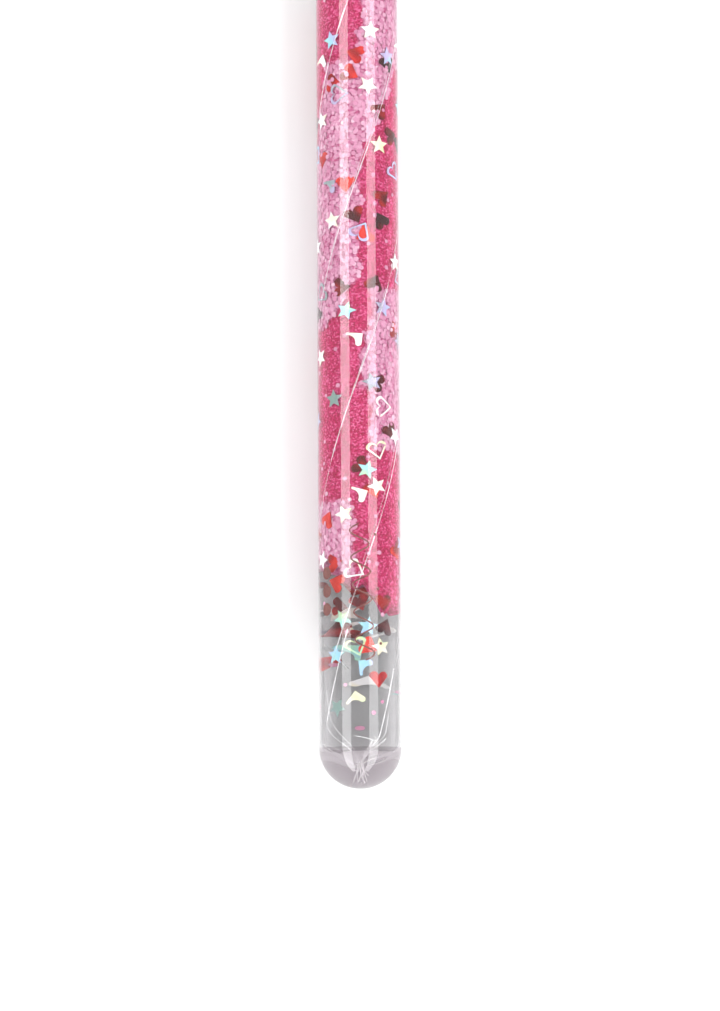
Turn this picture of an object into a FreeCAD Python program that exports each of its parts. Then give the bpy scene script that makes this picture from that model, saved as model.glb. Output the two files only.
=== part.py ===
import FreeCAD, Part
import math
import os

# Gel pen with a clear, glitter-filled barrel.
# Every piece is first built with the pen's own axis on Y: the tail's pole at y = 0, the writing end
# and the cap towards +Y, and the clip standing up along +Z. The cap is then rolled about the axis
# until the clip's bracket touches the ground, and the pen is laid on z = 0. Millimetres throughout.

Vector = FreeCAD.Vector
ALONG = Vector(0, 1, 0)
ACROSS = Vector(1, 0, 0)
UP = Vector(0, 0, 1)

# Barrel
barrel_diameter = 11.0
barrel_length = 115.5
barrel_wall = 1.0
socket_depth = 6.0
mouth_chamfer = 0.25

# Twisted film sleeve
liner_clearance = 0.08
liner_wall = 0.12
liner_tail_gap = 0.9
liner_knot_radius = 0.45

# Glitter filling and the foil pieces that float around it
fill_start = 23.0
fill_clearance = 0.05
confetti_space = 0.5
foil_thickness = 0.04
foil_layer_gap = 0.04
star_radius = 1.3
star_waist = 0.6
heart_width = 2.5
heart_lobe_rise = 0.15
heart_depth = 0.62
open_heart_width = 2.8
open_heart_line = 0.36
boot_width = 2.0
dot_radius = 0.36

# Refill
refill_diameter = 5.0
refill_wall = 0.6
refill_tube_length = 85.0
ink_clearance = 0.02
end_plug_flange = 1.0
end_plug_spigot = 3.0
end_plug_vent_radius = 0.5
follower_length = 5.0
ink_rear_space = 9.0
socket_spigot = 4.0
socket_flange = 2.0
socket_cone_length = 4.0
socket_nose_wall = 0.45
socket_feed_radius = 0.7
tip_radius = 1.15
tip_show = 2.2
tip_seat_depth = 2.5
tip_shank = 6.0
tip_cone_length = 1.8
tip_lip_radius = 0.46
ball_radius = 0.35
ball_clearance = 0.02
ball_show = 0.12
tip_feed_radius = 0.2

# Well that the refill stands in, and the plug that closes the glitter chamber
well_clearance = 0.3
well_wall = 0.4
well_length = 58.0
well_floor = 0.8
plug_length = 3.0
plug_clearance = 0.02
seal_section_radius = 0.35
seal_squeeze_gap = 0.04
groove_clearance = 0.05

# Front section, grip and nose
thread_length = 5.5
thread_clearance = 0.08
seat_gap = 0.05
collar_length = 2.0
section_clearance = 0.2
nose_spigot_wall = 0.5
nose_spigot_length = 4.0
nose_spigot_clearance = 0.02
core_shoulder = 0.6
snap_ring_length = 2.0
snap_ring_clearance = 0.08
grip_gap = 0.5
grip_length = 18.0
grip_thickness = 0.65
grip_rib_count = 9
grip_rib_depth = 0.25
nose_length = 12.0
nose_step = 0.1
nose_front_wall = 0.5
nose_clearance = 0.1

# Cap and clip; the cap and the section's collar stand a step inside the barrel's side
cap_step = 0.2
cap_length = 40.0
cap_clearance = 0.2
cap_end_height = 2.0
cap_end_step = 0.2
cap_end_stem = 4.0
cap_end_round = 0.8
vent_radius = 0.8
vent_circle = 2.6
vent_count = 3
cap_seal_length = 6.0
cap_seal_overlap = 5.0
cap_seal_clearance = 0.15
clip_width = 4.0
clip_thickness = 0.8
clip_stand_off = 1.3
clip_reach = 31.0
clip_setback = 5.0
clip_bump_radius = 1.2
clip_bump_gap = 0.1
clip_pin_radius = 0.45
clip_pin_clearance = 0.04
clip_knuckle_wall = 0.46
clip_side_gap = 0.08
bracket_ear = 1.0
bracket_base = 0.35
bracket_knuckle_gap = 0.08

# Radii that follow from the sizes above
barrel_radius = barrel_diameter / 2
chamber_radius = barrel_radius - barrel_wall
liner_radius = chamber_radius - liner_clearance
liner_bore = liner_radius - liner_wall
fill_radius = liner_bore - confetti_space
refill_radius = refill_diameter / 2
refill_bore = refill_radius - refill_wall
well_bore = refill_radius + well_clearance
well_radius = well_bore + well_wall
section_bore = refill_radius + section_clearance
nose_spigot_radius = section_bore + nose_spigot_wall
core_radius = nose_spigot_radius + core_shoulder
grip_radius = core_radius + grip_thickness
nose_radius = grip_radius - nose_step
nose_front_bore = tip_radius + nose_clearance
nose_front_radius = nose_front_bore + nose_front_wall
cap_radius = barrel_radius - cap_step
cap_bore = grip_radius + cap_clearance
cap_end_radius = cap_radius - cap_end_step
thread_radius = chamber_radius - thread_clearance
knuckle_radius = clip_pin_radius + clip_pin_clearance + clip_knuckle_wall
pivot_height = cap_radius + bracket_base + bracket_knuckle_gap + knuckle_radius
ear_start = clip_width / 2 + clip_side_gap
ear_end = ear_start + bracket_ear

# Stations along the axis, measured from the tail's pole
plug_front = barrel_length - socket_depth
plug_rear = plug_front - plug_length
well_rear = plug_front - well_length
collar_rear = barrel_length + seat_gap
collar_front = collar_rear + collar_length
grip_rear = collar_front + snap_ring_length + grip_gap
grip_front = grip_rear + grip_length
nose_front = grip_front + nose_length
cap_rear = collar_front + seat_gap
cap_front = cap_rear + cap_length
pen_length = cap_front + cap_end_height
tip_front = nose_front + tip_show
tip_cone_rear = tip_front - tip_cone_length
tip_rear = tip_cone_rear - tip_shank
socket_front = tip_rear + tip_seat_depth
socket_rear = socket_front - socket_cone_length - socket_flange
tube_rear = socket_rear - refill_tube_length
ball_centre = tip_front + ball_show - ball_radius
pivot_station = cap_front - clip_setback

# How the pen lies: rolled until the corner of the bracket's lower ear is level with the barrel's underside
ear_top = pivot_height + knuckle_radius
ear_corner = math.hypot(ear_top, ear_end)
ear_corner_angle = math.degrees(math.atan2(ear_end, ear_top))
roll_angle = math.degrees(math.acos(-barrel_radius / ear_corner)) - ear_corner_angle
side_reach = ear_corner * math.sin(math.radians(roll_angle - ear_corner_angle))
axis_offset = (barrel_radius - side_reach) / 2

# Layer of each kind of foil piece, counted outwards from the glitter
dot_layer = 0
heart_layer = 1
outline_layer = 2
star_layer = 3

# Places of the foil pieces: percent of the way from the tail to the chamber plug, angle round the
# axis from the top, and turn of the shape, both in degrees
star_places = (
    (94, -48, 85), (95, 24, -3), (88, 19, 183), (92, 60, 8), (80.5, 40, 0), (71, -48, 8),
    (59.5, -21, -90), (60, 46, 60), (48.5, -46, 3), (50.5, 24, 88), (39.5, 14, -88), (34, -27, 20),
    (37.5, 32, 25), (17.5, 38, 14), (10, -42, 40), (20, 14, -80), (21, -30, 30), (16.5, -44, 70),
    (84, -75, 15), (44, 78, 40), (66, 82, 5), (54, -84, 25), (28.5, -80, 50),
)
heart_places = (
    (92, -3, 250), (89.5, -13, 60), (88.5, -46, 80), (91, 62, 20), (85, 44, 140), (82, 72, 110),
    (75.5, -22, 5), (74, 48, 130), (71.5, -5, 25), (71, 45, 215), (69, 12, 300), (62.5, -30, 90),
    (63, 30, 160), (50.5, 33, 250), (44.5, 64, 30), (40, 5, 60), (37, 27, 20), (28, -48, 100),
    (25.5, -44, 250), (23, 0, 20), (22.5, -38, 80), (23, 45, 0), (20, 48, 160), (13.5, 34, 0),
    (17.5, 16, 60), (79, -78, 0), (57.5, 80, 200), (33.5, -66, 150), (29.5, 82, 30),
)
open_heart_places = (
    (87, -34, 90), (69.5, 5, 150), (47.5, 47, 90), (42, 34, 15), (17.5, -6, 20), (27, -8, 60),
    (77.5, 80, 40), (62, -82, 300),
)
boot_places = (
    (56, -6, 0), (36.5, 0, -12), (75.5, -55, 5), (11, -8, 60), (15, 8, 100), (91.5, -78, 30),
)
dot_first = 10.5
dot_last = 96.5
dot_count = 56
dot_turn = 137.5
far_side_shift = 2.3
far_side_turn = 180


def rod(start, end, radius):
    """Solid cylinder on the pen's axis between two stations."""
    return Part.makeCylinder(radius, end - start, Vector(0, start, 0), ALONG)


def taper(start, end, start_radius, end_radius):
    """Solid cone frustum on the pen's axis between two stations."""
    return Part.makeCone(start_radius, end_radius, end - start, Vector(0, start, 0), ALONG)


def ring(station, major_radius, section_radius):
    """Torus round the pen's axis, as an O-ring or as the cutter of a rounded groove."""
    return Part.makeTorus(major_radius, section_radius, Vector(0, station, 0), ALONG)


def domed_rod(tail, end, radius):
    """Solid cylinder with a half-ball at its tail end."""
    ball = Part.makeSphere(radius, Vector(0, tail + radius, 0))
    return ball.fuse(rod(tail + radius, end, radius)).removeSplitter()


def box(x_range, y_range, z_range):
    """Solid box between two corners given as three (low, high) pairs."""
    corner = Vector(x_range[0], y_range[0], z_range[0])
    return Part.makeBox(
        x_range[1] - x_range[0], y_range[1] - y_range[0], z_range[1] - z_range[0], corner
    )


def make_barrel_tube():
    """Clear tube with a domed, closed tail and an open, chamfered mouth."""
    outside = domed_rod(0, barrel_length, barrel_radius)
    bore = domed_rod(barrel_wall, barrel_length, chamber_radius)
    mouth = taper(
        barrel_length - mouth_chamfer, barrel_length, chamber_radius, chamber_radius + mouth_chamfer
    )
    return outside.cut(bore.fuse(mouth))


def make_film_liner():
    """Thin film sleeve that follows the bore, knotted at the tail."""
    tail = barrel_wall + liner_tail_gap
    end = plug_rear - fill_clearance
    sleeve = domed_rod(tail, end, liner_radius).cut(domed_rod(tail + liner_wall, end, liner_bore))
    knot = rod(barrel_wall + liner_clearance, tail + liner_wall, liner_knot_radius)
    return sleeve.fuse(knot).removeSplitter()


def make_glitter_fill():
    """Glitter gel packed round the well, with a short solid length behind it."""
    fill = rod(fill_start, plug_rear - fill_clearance, fill_radius)
    hollow = domed_rod(well_rear - fill_clearance, plug_rear, well_radius + fill_clearance)
    return fill.cut(hollow)


def foil_radius(layer):
    """Inside radius of a layer of foil pieces."""
    return fill_radius + foil_layer_gap + layer * (foil_thickness + foil_layer_gap)


def foil_piece(outline, layer):
    """Foil cut to a flat outline and bent to the radius of its layer, at the top of the pen."""
    inner = foil_radius(layer)
    reach = outline.BoundBox.DiagonalLength
    curved = rod(-reach, reach, inner + foil_thickness).cut(rod(-reach, reach, inner))
    return Part.Face(outline).extrude(UP * barrel_radius).common(curved)


def star_outline():
    """Five-pointed star."""
    points = []
    for index in range(10):
        radius = star_radius if index % 2 == 0 else star_waist
        angle = math.radians(90 + 36 * index)
        points.append(Vector(radius * math.cos(angle), radius * math.sin(angle), 0))
    return Part.makePolygon(points + points[:1])


def heart_outline(width):
    """Heart of a given width: two half-circle lobes over a point, about its own middle."""
    lobe = width / 4
    rise = width * heart_lobe_rise
    notch = Vector(0, rise, 0)
    tip = Vector(0, rise - width * heart_depth, 0)
    left = Part.Arc(notch, Vector(-lobe, rise + lobe, 0), Vector(-2 * lobe, rise, 0)).toShape()
    right = Part.Arc(Vector(2 * lobe, rise, 0), Vector(lobe, rise + lobe, 0), notch).toShape()
    to_tip = Part.makeLine(Vector(-2 * lobe, rise, 0), tip)
    from_tip = Part.makeLine(tip, Vector(2 * lobe, rise, 0))
    return Part.Wire([left, to_tip, from_tip, right])


def boot_outline():
    """Bent, round-ended shape like a small boot."""
    half = boot_width / 2
    toe = Vector(-half, half * 0.75, 0)
    toe_under = Vector(-half * 0.85, half * 0.4, 0)
    heel = Vector(half * 0.95, half * 0.6, 0)
    sole = Vector(half * 0.8, -half * 0.75, 0)
    ankle = Vector(half * 0.05, -half * 0.8, 0)
    bottom = Part.Arc(sole, Vector(half * 0.42, -half * 1.08, 0), ankle).toShape()
    instep = Part.Arc(ankle, Vector(-half * 0.2, half * 0.1, 0), toe_under).toShape()
    nose = Part.Arc(toe_under, Vector(-half * 1.08, half * 0.6, 0), toe).toShape()
    return Part.Wire([Part.makeLine(toe, heel), Part.makeLine(heel, sole), bottom, instep, nose])


def chamber_station(percent):
    """Distance from the tail of a place given as percent of the way to the chamber plug."""
    return plug_rear * percent / 100


def turned(outline, turn):
    """Copy of a flat outline turned about its middle."""
    copy = outline.copy()
    copy.rotate(Vector(0, 0, 0), UP, turn)
    return copy


def scatter(outlines, layer, places):
    """Lay a shape against the glitter: one at each place, and one on the far side of the pen.

    The first outline is the shape's edge and any others are cut out of it.
    """
    pieces = []
    for percent, angle, turn in places:
        blank = foil_piece(turned(outlines[0], turn), layer)
        for hole in outlines[1:]:
            blank = blank.cut(foil_piece(turned(hole, turn), layer))
        for shift, swing in ((0, 0), (far_side_shift, far_side_turn)):
            piece = blank.copy()
            piece.translate(Vector(0, chamber_station(percent) + shift, 0))
            piece.rotate(Vector(0, 0, 0), ALONG, angle + swing)
            pieces.append(piece)
    return Part.makeCompound(pieces)


def make_star_confetti():
    """White and holographic foil stars."""
    return scatter([star_outline()], star_layer, star_places)


def make_heart_confetti():
    """Red foil hearts."""
    return scatter([heart_outline(heart_width)], heart_layer, heart_places)


def make_open_heart_confetti():
    """Silver hearts punched out to a thin outline."""
    edge = heart_outline(open_heart_width)
    hole = heart_outline(open_heart_width - 2 * open_heart_line)
    return scatter([edge, hole], outline_layer, open_heart_places)


def make_boot_confetti():
    """White foil pieces shaped like small boots."""
    return scatter([boot_outline()], outline_layer, boot_places)


def make_dot_confetti():
    """Small foil dots on a loose spiral through the whole chamber."""
    blank = foil_piece(Part.Wire(Part.makeCircle(dot_radius)), dot_layer)
    dots = []
    for index in range(dot_count):
        dot = blank.copy()
        percent = dot_first + (dot_last - dot_first) * index / (dot_count - 1)
        dot.translate(Vector(0, chamber_station(percent), 0))
        dot.rotate(Vector(0, 0, 0), ALONG, index * dot_turn)
        dots.append(dot)
    return Part.makeCompound(dots)


def make_refill_well():
    """Thin tube with a domed rear end that keeps the glitter away from the refill."""
    outside = domed_rod(well_rear, plug_front, well_radius)
    return outside.cut(domed_rod(well_rear + well_floor, plug_front, well_bore))


def seal_major_radius():
    """Centre radius of an O-ring that almost touches the chamber's wall."""
    return chamber_radius - seal_squeeze_gap - seal_section_radius


def seal_groove(station):
    """Square groove for an O-ring, cut from the chamber's wall inwards."""
    half = seal_section_radius + groove_clearance
    floor = seal_major_radius() - half
    return rod(station - half, station + half, chamber_radius + 1).cut(
        rod(station - half, station + half, floor)
    )


def make_chamber_plug():
    """Ring welded into the barrel between the bore and the well, grooved for its O-ring."""
    body = rod(plug_rear, plug_front, chamber_radius).cut(
        rod(plug_rear, plug_front, well_radius + plug_clearance)
    )
    return body.cut(seal_groove((plug_rear + plug_front) / 2))


def make_chamber_seal():
    """O-ring that keeps the glitter gel behind the chamber plug."""
    return ring((plug_rear + plug_front) / 2, seal_major_radius(), seal_section_radius)


def make_refill_tube():
    """Plain ink tube."""
    return rod(tube_rear, socket_rear, refill_radius).cut(rod(tube_rear, socket_rear, refill_bore))


def make_refill_end_plug():
    """Vented plug pressed into the rear of the ink tube."""
    flange = rod(tube_rear - end_plug_flange, tube_rear, refill_radius)
    spigot = rod(tube_rear, tube_rear + end_plug_spigot, refill_bore)
    vent = rod(tube_rear - end_plug_flange, tube_rear + end_plug_spigot, end_plug_vent_radius)
    return flange.fuse(spigot).cut(vent)


def make_ink_follower():
    """Grease that follows the ink and keeps air away from it."""
    front = tube_rear + ink_rear_space
    return rod(front - follower_length, front, refill_bore - ink_clearance)


def make_gel_ink():
    """Column of gel ink, down to the back of the writing tip."""
    tube_end = socket_rear - socket_spigot - ink_clearance
    column = rod(tube_rear + ink_rear_space + ink_clearance, tube_end, refill_bore - ink_clearance)
    feed = rod(tube_end, tip_rear - ink_clearance, socket_feed_radius - ink_clearance)
    return column.fuse(feed)


def make_refill_socket():
    """Plastic holder: spigot in the ink tube, flange against it, cone round the metal tip."""
    spigot = rod(socket_rear - socket_spigot, socket_rear, refill_bore)
    flange = rod(socket_rear, socket_rear + socket_flange, refill_radius)
    cone = taper(
        socket_rear + socket_flange, socket_front, refill_radius, tip_radius + socket_nose_wall
    )
    seat = rod(tip_rear, socket_front, tip_radius)
    feed = rod(socket_rear - socket_spigot, tip_rear, socket_feed_radius)
    return spigot.fuse(flange).fuse(cone).cut(seat).cut(feed)


def make_writing_tip():
    """Turned metal point, drilled for the ink and bored for the ball."""
    shank = rod(tip_rear, tip_cone_rear, tip_radius)
    cone = taper(tip_cone_rear, tip_front, tip_radius, tip_lip_radius)
    feed = rod(tip_rear, tip_front, tip_feed_radius)
    seat_radius = ball_radius + ball_clearance
    seat = rod(ball_centre, tip_front, seat_radius)
    seat_floor = Part.makeSphere(seat_radius, Vector(0, ball_centre, 0))
    return shank.fuse(cone).cut(feed).cut(seat).cut(seat_floor)


def make_writing_ball():
    """Ball that rolls in the end of the tip."""
    return Part.makeSphere(ball_radius, Vector(0, ball_centre, 0))


def seal_station():
    """Place of the section's O-ring, at the root of its thread."""
    return barrel_length - 2 * seal_section_radius - 2 * groove_clearance - mouth_chamfer


def make_front_section():
    """Threaded spigot, collar, snap ring for the cap, core for the grip, spigot for the nose."""
    thread = rod(collar_rear - thread_length, collar_rear, thread_radius)
    collar = rod(collar_rear, collar_front, cap_radius)
    snap_ring = rod(collar_front, collar_front + snap_ring_length, cap_bore - snap_ring_clearance)
    core = rod(collar_front, grip_front, core_radius)
    spigot = rod(grip_front, grip_front + nose_spigot_length, nose_spigot_radius)
    body = thread.fuse([collar, snap_ring, core, spigot]).removeSplitter()
    bore = rod(collar_rear - thread_length, grip_front + nose_spigot_length, section_bore)
    return body.cut(bore).cut(seal_groove(seal_station()))


def make_section_seal():
    """O-ring on the front section that stops it working loose."""
    return ring(seal_station(), seal_major_radius(), seal_section_radius)


def make_grip_sleeve():
    """Rubber sleeve stretched over the section's core, with shallow rounded grooves."""
    sleeve = rod(grip_rear, grip_front, grip_radius).cut(rod(grip_rear, grip_front, core_radius))
    pitch = grip_length / (grip_rib_count + 1)
    for index in range(1, grip_rib_count + 1):
        sleeve = sleeve.cut(ring(grip_rear + index * pitch, grip_radius, grip_rib_depth))
    return sleeve


def nose_radius_at(station):
    """Outside radius of the nose cone at a station."""
    share = (station - grip_front) / nose_length
    return nose_radius + (nose_front_radius - nose_radius) * share


def make_nose_cone():
    """Nose that screws on the section's front spigot and holds the refill's tip in line."""
    rear = grip_front + seat_gap
    outside = taper(rear, nose_front, nose_radius_at(rear), nose_front_radius)
    spigot_bore = rod(
        grip_front, rear + nose_spigot_length, nose_spigot_radius + nose_spigot_clearance
    )
    flange_front = socket_rear + socket_flange + nose_clearance
    tube_bore = rod(grip_front, flange_front, section_bore)
    cone_bore = taper(
        flange_front,
        socket_front + nose_clearance,
        section_bore,
        tip_radius + socket_nose_wall + nose_clearance,
    )
    tip_bore = rod(grip_front, nose_front, nose_front_bore)
    return outside.cut(spigot_bore).cut(tube_bore).cut(cone_bore).cut(tip_bore)


def make_cap_shell():
    """Straight cap tube, flush with the collar, open at both ends before its end plug goes in."""
    return rod(cap_rear, cap_front, cap_radius).cut(rod(cap_rear, cap_front, cap_bore))


def make_cap_inner_seal():
    """Soft cup pressed into the cap, tapered to sit round the nose and its tip."""
    rear = nose_front - cap_seal_overlap
    front = rear + cap_seal_length
    body = rod(rear, front, cap_bore)
    cone = taper(
        rear, nose_front, nose_radius_at(rear) + cap_seal_clearance, nose_front_radius + cap_seal_clearance
    )
    return body.cut(cone).cut(rod(rear, front, nose_front_radius + cap_seal_clearance))


def make_cap_end_plug():
    """Rounded button with a stem pressed into the cap, drilled through so that air can pass."""
    head = rod(cap_front, pen_length, cap_end_radius)
    rim = [edge for edge in head.Edges if edge.CenterOfMass.y > pen_length - 0.01 and edge.isClosed()]
    head = head.makeFillet(cap_end_round, rim[:1])
    plug = head.fuse(rod(cap_front - cap_end_stem, cap_front, cap_bore))
    for index in range(vent_count):
        vent = rod(cap_front - cap_end_stem, pen_length, vent_radius)
        vent.translate(UP * vent_circle)
        vent.rotate(Vector(0, 0, 0), ALONG, index * 360 / vent_count)
        plug = plug.cut(vent)
    return plug


def make_clip_bracket():
    """Saddle welded to the cap, with an ear on each side of the clip's knuckle."""
    along = (pivot_station - knuckle_radius, pivot_station + knuckle_radius)
    base = box((-ear_end, ear_end), along, (0, cap_radius + bracket_base))
    ears = []
    for side in (-1, 1):
        start = ear_start if side > 0 else -ear_end
        web = box((start, start + bracket_ear), along, (0, pivot_height))
        eye = Part.makeCylinder(
            knuckle_radius, bracket_ear, Vector(start, pivot_station, pivot_height), ACROSS
        )
        ears.append(web.fuse(eye))
    bracket = base.fuse(ears).removeSplitter()
    pin_hole = Part.makeCylinder(
        clip_pin_radius, 2 * ear_end, Vector(-ear_end, pivot_station, pivot_height), ACROSS
    )
    saddle = rod(along[0], along[1], cap_radius)
    return bracket.cut(pin_hole).cut(saddle)


def make_clip_pin():
    """Pin pressed through both ears."""
    return Part.makeCylinder(
        clip_pin_radius, 2 * ear_end, Vector(-ear_end, pivot_station, pivot_height), ACROSS
    )


def make_clip_arm():
    """Sprung strip with a knuckle at one end and a round bump under its free end."""
    half = clip_width / 2
    under = cap_radius + clip_stand_off
    over = under + clip_thickness
    free_end = pivot_station - clip_reach
    strip = box((-half, half), (free_end, pivot_station), (under, over))
    end_round = Part.makeCylinder(half, clip_thickness, Vector(0, free_end, under), UP)
    bump_height = cap_radius + clip_bump_gap + clip_bump_radius
    bump = Part.makeSphere(clip_bump_radius, Vector(0, free_end, bump_height))
    bump = bump.cut(box((-half, half), (free_end - half, free_end + half), (over, over + half)))
    knuckle = Part.makeCylinder(
        knuckle_radius, clip_width, Vector(-half, pivot_station, pivot_height), ACROSS
    )
    arm = strip.fuse([end_round, bump, knuckle]).removeSplitter()
    hole = Part.makeCylinder(
        clip_pin_radius + clip_pin_clearance,
        clip_width,
        Vector(-half, pivot_station, pivot_height),
        ACROSS,
    )
    return arm.cut(hole)


def lay_down(shape, roll):
    """Roll a piece about the pen's axis and lay the pen on the ground, centred on the origin."""
    placed = shape.copy()
    placed.rotate(Vector(0, 0, 0), ALONG, roll)
    placed.translate(Vector(axis_offset, -pen_length / 2, barrel_radius))
    return placed


upright_pieces = {
    "barrel_tube": make_barrel_tube,
    "film_liner": make_film_liner,
    "glitter_fill": make_glitter_fill,
    "star_confetti": make_star_confetti,
    "heart_confetti": make_heart_confetti,
    "open_heart_confetti": make_open_heart_confetti,
    "boot_confetti": make_boot_confetti,
    "dot_confetti": make_dot_confetti,
    "refill_well": make_refill_well,
    "chamber_plug": make_chamber_plug,
    "chamber_seal": make_chamber_seal,
    "refill_tube": make_refill_tube,
    "refill_end_plug": make_refill_end_plug,
    "ink_follower": make_ink_follower,
    "gel_ink": make_gel_ink,
    "refill_socket": make_refill_socket,
    "writing_tip": make_writing_tip,
    "writing_ball": make_writing_ball,
    "front_section": make_front_section,
    "section_seal": make_section_seal,
    "grip_sleeve": make_grip_sleeve,
    "nose_cone": make_nose_cone,
}
rolled_pieces = {
    "cap_shell": make_cap_shell,
    "cap_inner_seal": make_cap_inner_seal,
    "cap_end_plug": make_cap_end_plug,
    "clip_bracket": make_clip_bracket,
    "clip_pin": make_clip_pin,
    "clip_arm": make_clip_arm,
}

os.makedirs("parts", exist_ok=True)
for pieces, roll in ((upright_pieces, 0), (rolled_pieces, roll_angle)):
    for name, make in pieces.items():
        lay_down(make(), roll).exportStep("parts/" + name + ".step")
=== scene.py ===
import bmesh
import bpy
import math
import random

from mathutils import Matrix, Vector


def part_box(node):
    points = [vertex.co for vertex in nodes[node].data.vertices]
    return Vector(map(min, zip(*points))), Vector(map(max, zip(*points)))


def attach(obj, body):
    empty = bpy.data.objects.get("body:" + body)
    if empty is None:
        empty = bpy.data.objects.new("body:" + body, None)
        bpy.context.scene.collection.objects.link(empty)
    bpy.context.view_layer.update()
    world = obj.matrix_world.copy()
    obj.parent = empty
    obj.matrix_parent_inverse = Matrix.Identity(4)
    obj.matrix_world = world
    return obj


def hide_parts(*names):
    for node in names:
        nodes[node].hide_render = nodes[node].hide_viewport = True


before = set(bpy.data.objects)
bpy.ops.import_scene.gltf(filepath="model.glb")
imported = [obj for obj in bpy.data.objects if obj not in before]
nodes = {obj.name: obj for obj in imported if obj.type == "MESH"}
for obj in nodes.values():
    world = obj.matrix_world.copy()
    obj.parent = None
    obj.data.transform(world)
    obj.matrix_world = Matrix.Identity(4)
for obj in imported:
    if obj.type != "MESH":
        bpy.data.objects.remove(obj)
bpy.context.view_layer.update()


# ---------------------------------------------------------------------------------------------
# Refill: a polypropylene tube of gel ink with a grease follower, a vented rear plug, a moulded
# tip holder and a turned nickel silver point with its ball. It is pushed together and drops
# into the well from the front.

MM = 0.001


def linear(hex_code):
    """sRGB hex code as the linear RGBA that the shaders take."""
    channels = [int(hex_code[i:i + 2], 16) / 255 for i in (1, 3, 5)]
    return [c / 12.92 if c <= 0.04045 else ((c + 0.055) / 1.055) ** 2.4 for c in channels] + [1.0]


def start_material(name):
    """An empty node material and the tree to fill."""
    material = bpy.data.materials.new(name)
    material.use_nodes = True
    material.node_tree.nodes.clear()
    return material, material.node_tree


def add(tree, kind, inputs=None, **settings):
    """Add one shader node: its properties, then its sockets as values or as links from others."""
    node = tree.nodes.new(kind)
    for key, value in settings.items():
        setattr(node, key, value)
    for key, value in (inputs or {}).items():
        if isinstance(value, bpy.types.NodeSocket):
            tree.links.new(value, node.inputs[key])
        else:
            node.inputs[key].default_value = value
    return node


def ramp(node, stops):
    """Set a colour ramp's stops as (position, hex code)."""
    elements = node.color_ramp.elements
    while len(elements) < len(stops):
        elements.new(0.5)
    for element, (position, code) in zip(elements, stops):
        element.position = position
        element.color = linear(code)
    return node


def dress(material, *names):
    """Give a material to CAD nodes, in every slot that they have."""
    for name in names:
        for slot in nodes[name].material_slots:
            slot.material = material


def moulded_polypropylene(name, dark, light, translucency):
    """Natural polypropylene, injection moulded: milky, with faint flow marks and a soft gloss."""
    material, tree = start_material(name)
    place = add(tree, "ShaderNodeTexCoord").outputs["Object"]
    flow = add(tree, "ShaderNodeTexNoise", {"Vector": place, "Scale": 220.0, "Detail": 4.0})
    tint = ramp(
        add(tree, "ShaderNodeValToRGB", {"Fac": flow.outputs["Fac"]}), ((0.3, dark), (0.7, light))
    )
    skin = add(tree, "ShaderNodeTexNoise", {"Vector": place, "Scale": 3500.0, "Detail": 2.0})
    bump = add(
        tree, "ShaderNodeBump", {"Height": skin.outputs["Fac"], "Strength": 0.08, "Distance": 0.02 * MM}
    )
    gloss = add(
        tree, "ShaderNodeMapRange", {"Value": skin.outputs["Fac"], "To Min": 0.25, "To Max": 0.38}
    )
    shader = add(
        tree,
        "ShaderNodeBsdfPrincipled",
        {
            "Base Color": tint.outputs["Color"],
            "Roughness": gloss.outputs["Result"],
            "Normal": bump.outputs["Normal"],
            "Subsurface Weight": translucency,
            "Subsurface Scale": 0.6 * MM,
            "IOR": 1.49,
        },
    )
    add(tree, "ShaderNodeOutputMaterial", {"Surface": shader.outputs["BSDF"]})
    return material


def gel_ink():
    """Gel ink seen in its tube: deep pink, wet, with slight streaks of pigment."""
    material, tree = start_material("gel_ink_deep_pink")
    place = add(tree, "ShaderNodeTexCoord").outputs["Object"]
    squeezed = add(tree, "ShaderNodeMapping", {"Vector": place, "Scale": (1.0, 0.1, 1.0)})
    streak = add(
        tree, "ShaderNodeTexNoise", {"Vector": squeezed.outputs["Vector"], "Scale": 900.0, "Detail": 3.0}
    )
    tint = ramp(
        add(tree, "ShaderNodeValToRGB", {"Fac": streak.outputs["Fac"]}),
        ((0.35, "#A31552"), (0.65, "#D6357F")),
    )
    shader = add(
        tree,
        "ShaderNodeBsdfPrincipled",
        {"Base Color": tint.outputs["Color"], "Roughness": 0.12, "IOR": 1.38},
    )
    add(tree, "ShaderNodeOutputMaterial", {"Surface": shader.outputs["BSDF"]})
    return material


def turned_metal(name, dark, light, roughness):
    """Metal turned on a lathe: fine rings round the pen's axis that stretch the highlights."""
    material, tree = start_material(name)
    place = add(tree, "ShaderNodeTexCoord").outputs["Object"]
    rings = add(tree, "ShaderNodeMapping", {"Vector": place, "Scale": (0.02, 1.0, 0.02)})
    tool_mark = add(
        tree, "ShaderNodeTexNoise", {"Vector": rings.outputs["Vector"], "Scale": 14000.0, "Detail": 2.0}
    )
    tint = ramp(
        add(tree, "ShaderNodeValToRGB", {"Fac": tool_mark.outputs["Fac"]}), ((0.3, dark), (0.7, light))
    )
    bump = add(
        tree,
        "ShaderNodeBump",
        {"Height": tool_mark.outputs["Fac"], "Strength": 0.15, "Distance": 0.01 * MM},
    )
    shader = add(
        tree,
        "ShaderNodeBsdfPrincipled",
        {
            "Base Color": tint.outputs["Color"],
            "Metallic": 1.0,
            "Roughness": roughness,
            "Normal": bump.outputs["Normal"],
        },
    )
    add(tree, "ShaderNodeOutputMaterial", {"Surface": shader.outputs["BSDF"]})
    return material


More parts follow.
